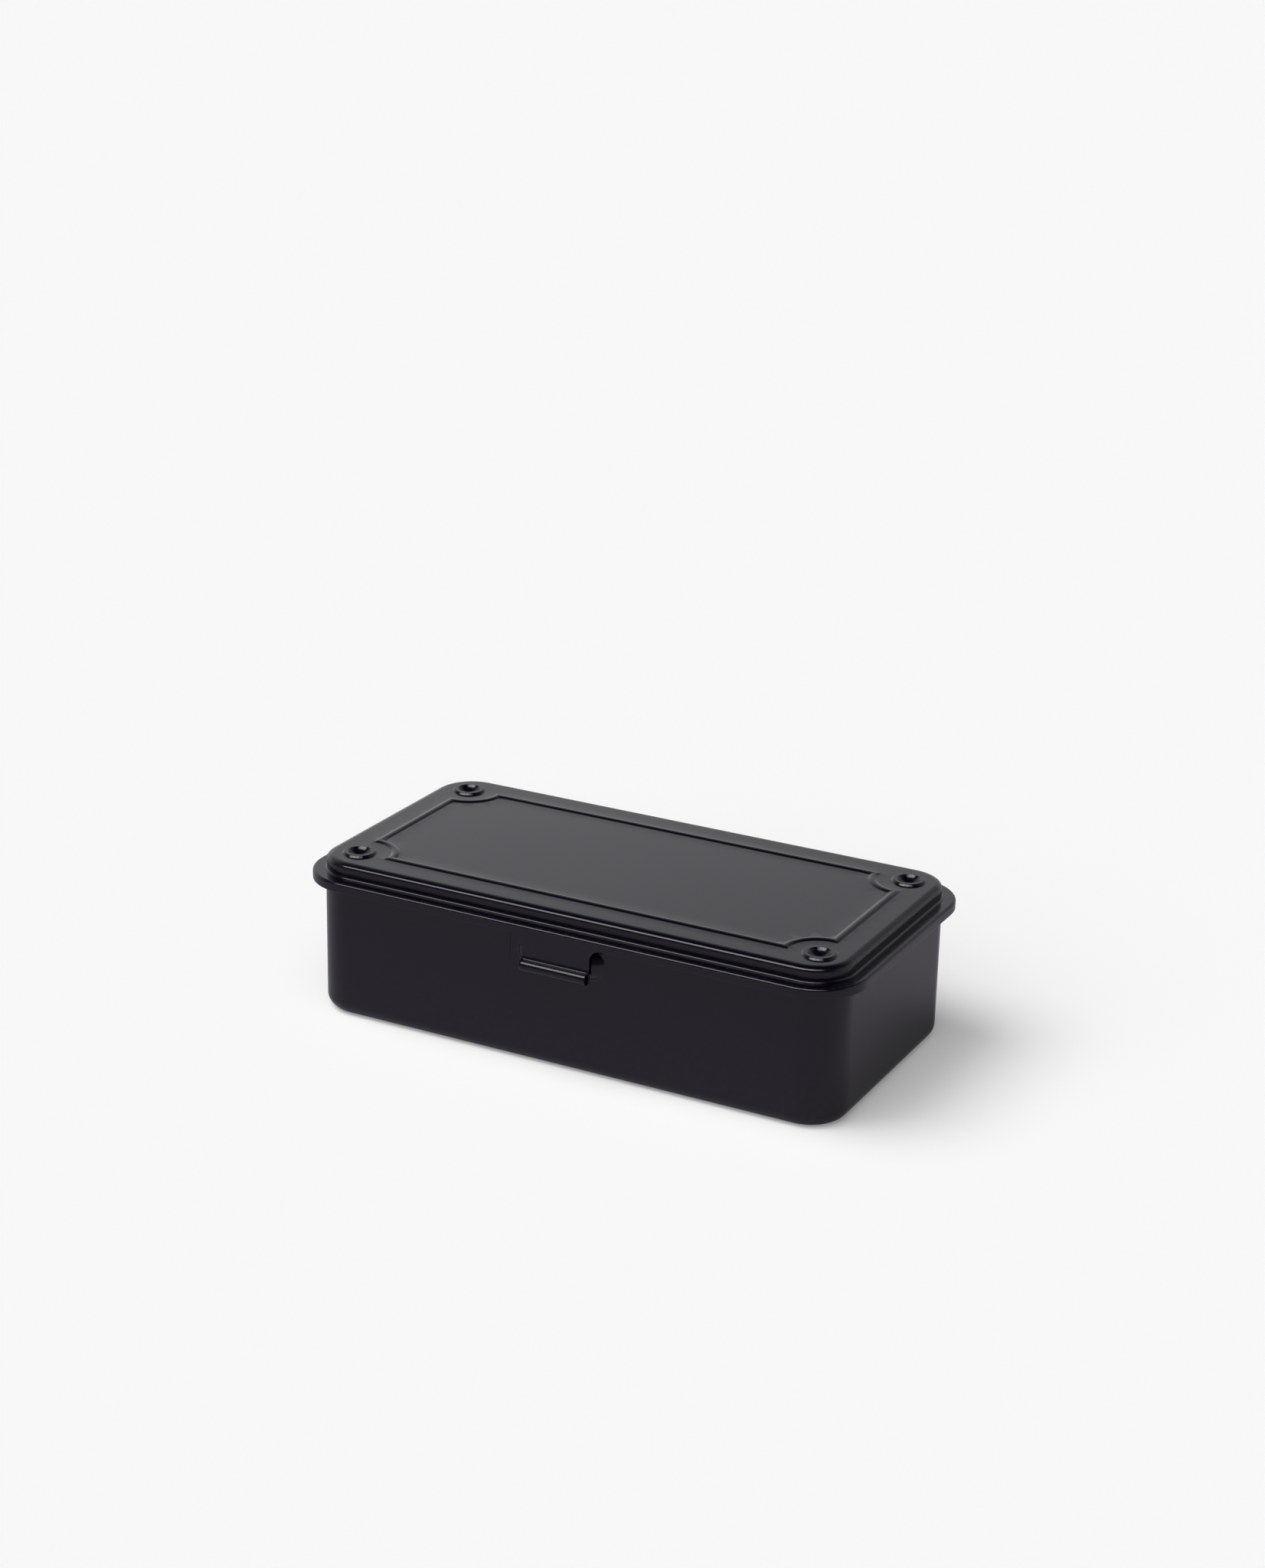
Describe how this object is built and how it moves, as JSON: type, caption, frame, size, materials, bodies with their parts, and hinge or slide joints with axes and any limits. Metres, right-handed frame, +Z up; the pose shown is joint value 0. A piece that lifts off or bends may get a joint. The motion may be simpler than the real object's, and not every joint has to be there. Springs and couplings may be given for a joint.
{
  "type": "lunch box",
  "caption": "Small pressed-steel lunch or storage box with a rear-hinged lid, a sprung front latch tab, a curled rim and corner studs for stacking.",
  "frame": {"origin": "on the surface the box stands on, under the centre of the body's floor", "axes": "+Z up, +X along the length to the right as seen from the latch side, latch on the -Y side, hinges on the +Y side"},
  "size_m": [0.203, 0.1118, 0.0562],
  "materials": {
    "black_paint": "semi-gloss baked enamel over pressed sheet steel",
    "pin_steel": "drawn wire, darkened"
  },
  "bodies": {
    "body": {"body_shell": "black_paint", "hinge_leaf_left": "black_paint", "hinge_leaf_right": "black_paint", "hinge_pin_left": "pin_steel", "hinge_pin_right": "pin_steel"},
    "lid": {"lid_shell": "black_paint"}
  },
  "joints": [
    {"name": "lid_hinge", "type": "hinge", "parent": "body", "child": "lid", "pos_m": [0, 0.05425, 0.043], "axis": [-1, 0, 0], "range_deg": [0, 110]}
  ]
}
